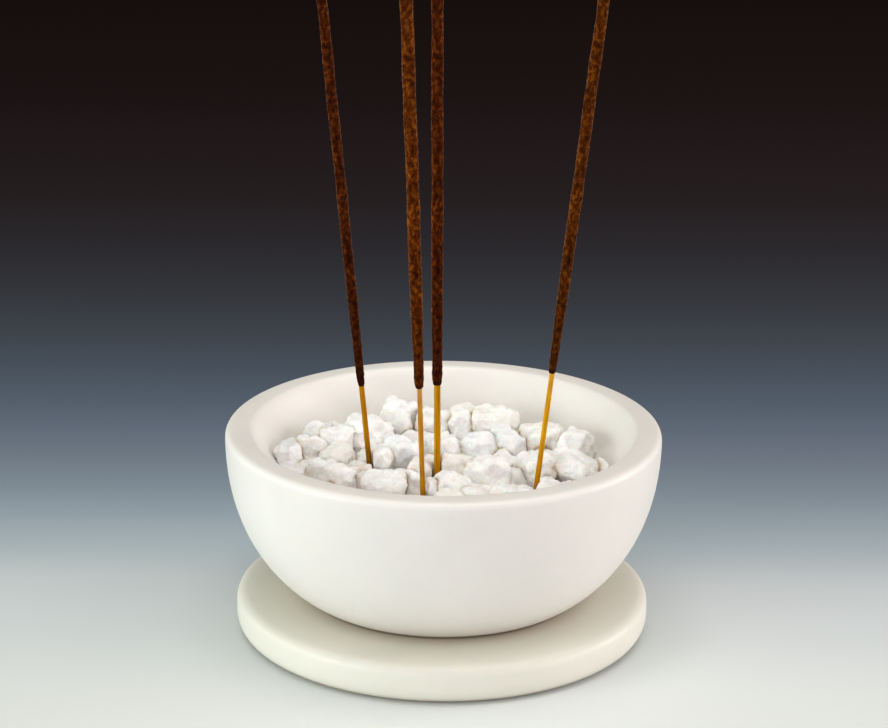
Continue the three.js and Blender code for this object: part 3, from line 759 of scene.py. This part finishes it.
# %% [markdown]
# ## All the chips
#
# The helpers now run over the 49 chips one by one. A few spots, seen from above in millimetres, say where a cream,
# rosy or greyish chip lies. The rosy chips lie low between others and the two greyish ones at the far left lie in
# the rim's shade, so their tints are partly painted shade.

# %% Chips
# Rosy spots mark chips that lie low, and the two greyish spots at the far left mark chips in the rim's shade: there
# the tint is partly painted shade.
SHADE_SPOTS = [
    ("rosy", 3, -6), ("rosy", -5, -8), ("rosy", 19, -8), ("rosy", -22, -5),
    ("cream", -28, -1), ("cream", 7, 36), ("cream", 14, 26), ("cream", 1, -31), ("cream", 26, 14),
    ("grey", 17, 11), ("grey", 9, 9), ("grey", -40, 0), ("grey", -39, -11), ("grey", -11, 2),
]
SPOT_REACH = 4


def shade_at(middle):
    """The shade of the chip that stands over a spot, or white."""
    for shade, right, back in SHADE_SPOTS:
        if (middle.xy / MM - Vector((right, back))).length < SPOT_REACH:
            return shade
    return "white"


chip_nodes = sorted(name for name in frame["nodes"] if name.startswith("chip_") and name != "chip_bed")
stones = {}
for node in chip_nodes:
    stone = block_from(node, "stone_" + node[-2:])
    pick_whole_mesh(stone)
    bpy.ops.mesh.bevel(offset=CHIP_BEVEL, segments=2, profile=0.5, clamp_overlap=True)
    bpy.ops.object.mode_set(mode="OBJECT")
    break_surface(stone, CHIP_SKIN)
    low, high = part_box(node)
    dress(stone, CRUSHED_MARBLE[shade_at((low + high) / 2)], "crushed_marble", "chips", node)
    stones[node] = stone
print("chips:", len(chip_nodes), "of about", len(stone.data.polygons), "faces each")

# %% [markdown]
# ## The bed under the chips
#
# Under the top layer lie more chips, of which only glimpses show in the gaps. In CAD they are one solid, and
# they stay one piece here, with the same broken skin.

# %% Bed
BED_SKIN = 0.55 * MM

bed = block_from("chip_bed", "stone_bed")
break_surface(bed, BED_SKIN)
dress(bed, CRUSHED_MARBLE["white"], "crushed_marble", "chips", "chip_bed")
note_gaps({**stones, "chip_bed": bed})
print("bed:", len(bed.data.polygons), "faces")

# %% [markdown]
# ## The incense sticks
#
# A stick is a straight bamboo core with paste rolled round it. Both are turned upright with the helper for round
# pieces, roughened there, and then leaned into place along the line found above.

# %% Helpers for sticks
def radius_near(node, direction, tip, height):
    """The radius of a node's ring that lies nearest to a height along the line."""
    rings = []
    for point in frame["nodes"][node].data.vertices:
        along = (point.co - tip).dot(direction)
        rings.append((round(abs(along - height) / MM, 1), -(point.co - tip - direction * along).length))
    return -min(rings)[1]


def keep_grown_place(piece):
    """Store each point's place on the upright stick, for the grain to follow."""
    grown = piece.data.attributes.new("grown", "FLOAT_VECTOR", "POINT")
    for value, point in zip(grown.data, piece.data.vertices):
        value.vector = point.co


def lean(piece, direction, tip):
    """Turn an upright piece to its stick's direction and set it down on the stick's foot."""
    piece.rotation_mode = "QUATERNION"
    piece.rotation_quaternion = Vector((0, 0, 1)).rotation_difference(direction)
    piece.location = tip
    pick(piece)
    bpy.ops.object.transform_apply()


def divide_along(piece, low, high, cuts):
    """Cut the one long stretch between two heights into rings, first coarsely and then each part again."""
    coarse = max(int(math.sqrt(cuts)), 1)
    near = (high - low) * 0.01
    pick_edges(piece, lambda one, two: abs(min(one.z, two.z) - low) < near and abs(max(one.z, two.z) - high) < near)
    bpy.ops.mesh.subdivide(number_cuts=coarse)
    part = (high - low) / (coarse + 1)
    pick_edges(piece, lambda one, two: abs(abs(one.z - two.z) - part) < part * 0.01
               and low - near < one.z < high + near)
    bpy.ops.mesh.subdivide(number_cuts=max(round(cuts / coarse) - 1, 1))
    bpy.ops.object.mode_set(mode="OBJECT")


# %% [markdown]
# ## The four sticks
#
# The paste was rolled on while it was wet, so its lower end is thin and round and it widens over the first
# centimetres. The long stretches are cut into short rings, because a texture can only push points that exist.

# %% Sticks
CORE_SIDES = 16
COAT_SIDES = 28
COAT_RING = 0.5 * MM
COAT_SHOULDER = 2.5 * MM
COAT_WIDENING = 25 * MM
CORE_RING = 1.5 * MM
CORE_CHAMFER = 0.1 * MM
GRAIN_HEIGHT = 0.3 * MM
SWELL_HEIGHT = 0.35 * MM
KINK_HEIGHT = 0.06 * MM
PASTE_GRAIN = cloud_texture("paste_grain", 0.6 * MM, 2)
PASTE_SWELL = cloud_texture("paste_swell", 7 * MM, 1)
BAMBOO_KINKS = cloud_texture("bamboo_kinks", 9 * MM, 1)

for number, (direction, tip, low, high, radius) in STICKS.items():
    foot_end = low + CORE_CHAMFER
    core = turn(f"bamboo_core_{number}", [(radius * 0.9, low), (radius, foot_end), (radius, high)], CORE_SIDES)
    divide_along(core, foot_end, high, int((high - low) / CORE_RING))
    keep_grown_place(core)
    finish_with(core, "DISPLACE", texture=BAMBOO_KINKS, texture_coords="LOCAL", strength=KINK_HEIGHT, mid_level=0.8)
    lean(core, direction, tip)
    dress(core, BAMBOO[number], "bamboo", f"stick_{number}", f"stick_{number}_core")

    coat_node = f"stick_{number}_coat"
    low, high, coat_radius = reach_of(coat_node, direction, tip)
    shoulder, full = low + COAT_SHOULDER, low + COAT_WIDENING
    end_radius = radius_near(coat_node, direction, tip, shoulder)
    lower_end = bezier([(radius * 1.1, low), (end_radius * 0.95, low), (end_radius, shoulder)], 6)
    upper_end = bezier([(coat_radius, high - coat_radius), (coat_radius, high), (coat_radius * 0.2, high)], 6)
    outline = [(radius * 1.1, low), *lower_end, (coat_radius, full), (coat_radius, high - coat_radius), *upper_end]
    coat = turn(f"paste_coat_{number}", outline, COAT_SIDES)
    divide_along(coat, full, high - coat_radius, int((high - coat_radius - full) / COAT_RING))
    divide_along(coat, shoulder, full, int((full - shoulder) / COAT_RING))
    keep_grown_place(coat)
    finish_with(coat, "DISPLACE", texture=PASTE_SWELL, texture_coords="LOCAL", strength=SWELL_HEIGHT, mid_level=0.8)
    finish_with(coat, "DISPLACE", texture=PASTE_GRAIN, texture_coords="LOCAL", strength=GRAIN_HEIGHT, mid_level=0.6)
    lean(coat, direction, tip)
    dress(coat, PASTE[number], "incense_paste", f"stick_{number}", coat_node)
    print("stick", number, "coat", len(coat.data.polygons), "faces, radius", round(coat_radius / MM, 2))

# %% [markdown]
# ## The floor
#
# The burner stands on a pale floor that darkens towards the back, so that the white stone stands out against it.
# The darkening is partly the tone of graduated studio paper and partly painted shade for the light falling off
# behind the burner, and far in front of the burner the floor is darkened as painted shade too. The shades are a
# ramp over the depth in metres, from in front of the burner to far behind it. The floor lets a camera below it
# look through.

# %% Floor
FLOOR_RADIUS = 4.0
FLOOR_DROP = 0.05 * MM
FRONT_DEPTH = -0.7
SHADED_DEPTH = 1.6
# The darkest shades, far behind and far in front, are partly painted shade.
FLOOR_SHADES = [
    (-0.600, (0.210, 0.220, 0.215)),
    (-0.260, (0.401, 0.415, 0.401)),
    (-0.120, (0.711, 0.737, 0.711)),
    (-0.060, (0.711, 0.737, 0.711)),
    (-0.044, (0.698, 0.726, 0.708)),
    (-0.013, (0.630, 0.667, 0.667)),
    (0.006, (0.611, 0.649, 0.659)),
    (0.027, (0.554, 0.592, 0.611)),
    (0.049, (0.405, 0.466, 0.500)),
    (0.073, (0.300, 0.360, 0.413)),
    (0.097, (0.217, 0.268, 0.318)),
    (0.124, (0.161, 0.197, 0.248)),
    (0.152, (0.120, 0.147, 0.200)),
    (0.182, (0.085, 0.112, 0.152)),
    (0.214, (0.064, 0.083, 0.114)),
    (0.248, (0.051, 0.062, 0.081)),
    (0.298, (0.0365, 0.0400, 0.0504)),
    (0.367, (0.0251, 0.0230, 0.0298)),
    (0.446, (0.0202, 0.0130, 0.0150)),
    (0.643, (0.0156, 0.0065, 0.0071)),
    (0.870, (0.0154, 0.0054, 0.0052)),
]


def paper_with_painted_falloff():
    """Matt paper that darkens with the depth, partly as painted shade, and is clear when it is seen from below."""
    finish = new_finish("paper_with_painted_falloff", Roughness=0.9, Specular_IOR_Level=0.1)
    depth = part_of(finish, place_in(finish), "Y")
    shades = [((place - FRONT_DEPTH) / SHADED_DEPTH, colour) for place, colour in FLOOR_SHADES]
    share = share_of(finish, depth, FRONT_DEPTH, SHADED_DEPTH, clamp=False)
    feed(finish, "Base Color", ramp(finish, share, shades))
    tree = finish.node_tree
    behind = add(finish, "NewGeometry").outputs["Backfacing"]
    clear = add(finish, "BsdfTransparent").outputs["BSDF"]
    mix = add(finish, "MixShader", {0: behind, 1: tree.nodes["Principled BSDF"].outputs["BSDF"], 2: clear})
    tree.links.new(mix.outputs["Shader"], tree.nodes["Material Output"].inputs["Surface"])
    return finish


clear_selection()
bpy.ops.mesh.primitive_circle_add(vertices=128, radius=FLOOR_RADIUS, fill_type="NGON", location=(0, 0, -FLOOR_DROP))
floor = bpy.context.object
floor.name = "floor"
floor.data.materials.append(paper_with_painted_falloff())
print("floor:", FLOOR_RADIUS, "m radius,", len(FLOOR_SHADES), "shades")

# %% [markdown]
# ## The lamps
#
# Large soft lamps stand round the burner. Five low ones light the walls and the edges of the sticks, and three
# high ones light the rim and the chips. Each is nearly white: a warm lamp against a cool one gives the marble its
# faint change of tint from side to side.

# %% Lamps
AIM = Vector((0, 0, 0.04))
LAMP_DISTANCE = 1.1
LAMP_WIDTH = 0.6
# Each lamp: name, degrees round, degrees up, height in metres, watts, colour.
LAMPS = [
    ("left_lamp", -60, 12, 0.45, 6.90, (0.91, 0.976, 0.985)),
    ("left_side_lamp", -100, 12, 0.45, 2.40, (0.888, 1.0, 0.857)),
    ("front_lamp", -20, 12, 0.45, 1.99, (0.90, 0.90, 1.0)),
    ("right_lamp", 60, 12, 0.45, 3.80, (1.0, 0.93, 0.98)),
    ("right_side_lamp", 100, 12, 0.45, 5.54, (1.0, 0.977, 0.95)),
    ("high_left_lamp", -30, 60, 0.6, 1.78, (1.0, 0.996, 0.939)),
    ("high_right_lamp", 90, 60, 0.6, 1.83, (1.0, 0.947, 0.921)),
    ("top_lamp", 0, 88, 0.6, 4.08, (1.0, 0.967, 0.891)),
]


def soft_lamp(name, place, aim, width, height, watts, colour):
    """A rectangular soft lamp that faces a point."""
    clear_selection()
    bpy.ops.object.light_add(type="AREA", location=place)
    lamp = bpy.context.object
    lamp.name = name
    lamp.data.shape = "RECTANGLE"
    lamp.data.size = width
    lamp.data.size_y = height
    lamp.data.energy = watts
    lamp.data.color = colour
    lamp.rotation_euler = (aim - place).to_track_quat("-Z", "Y").to_euler()


def around(degrees, height_degrees):
    """A place on a dome round the burner: degrees to the right of the camera, and above the table."""
    side, up = math.radians(degrees), math.radians(height_degrees)
    return AIM + Vector((math.sin(side) * math.cos(up), -math.cos(side) * math.cos(up), math.sin(up))) * LAMP_DISTANCE


for name, side, up, lamp_height, watts, colour in LAMPS:
    soft_lamp(name, around(side, up), AIM, LAMP_WIDTH, lamp_height, watts, colour)

# %% [markdown]
# ## The surroundings
#
# The world adds a little even light from all round. What the camera, a glossy surface or a clear one sees of it
# is as dark as the far floor, so the floor's rim doesn't show.

# %% World
AMBIENT = 0.18
FAR_SHADE = (0.0100, 0.0056, 0.0056, 1)

world = bpy.data.worlds.new("studio")
world.use_nodes = True
bpy.context.scene.world = world
nodes, links = world.node_tree.nodes, world.node_tree.links
light = nodes["Background"]
light.inputs["Color"].default_value = (1, 1, 1, 1)
light.inputs["Strength"].default_value = AMBIENT
seen = nodes.new("ShaderNodeBackground")
seen.inputs["Color"].default_value = FAR_SHADE
path = nodes.new("ShaderNodeLightPath")
looking = path.outputs["Is Camera Ray"]
for other_ray in ("Is Glossy Ray", "Is Transmission Ray"):
    either = nodes.new("ShaderNodeMath")
    either.operation = "MAXIMUM"
    links.new(looking, either.inputs[0])
    links.new(path.outputs[other_ray], either.inputs[1])
    looking = either.outputs["Value"]
mix = nodes.new("ShaderNodeMixShader")
links.new(looking, mix.inputs["Fac"])
links.new(light.outputs["Background"], mix.inputs[1])
links.new(seen.outputs["Background"], mix.inputs[2])
links.new(mix.outputs["Shader"], nodes["World Output"].inputs["Surface"])
print("world: even light", AMBIENT)
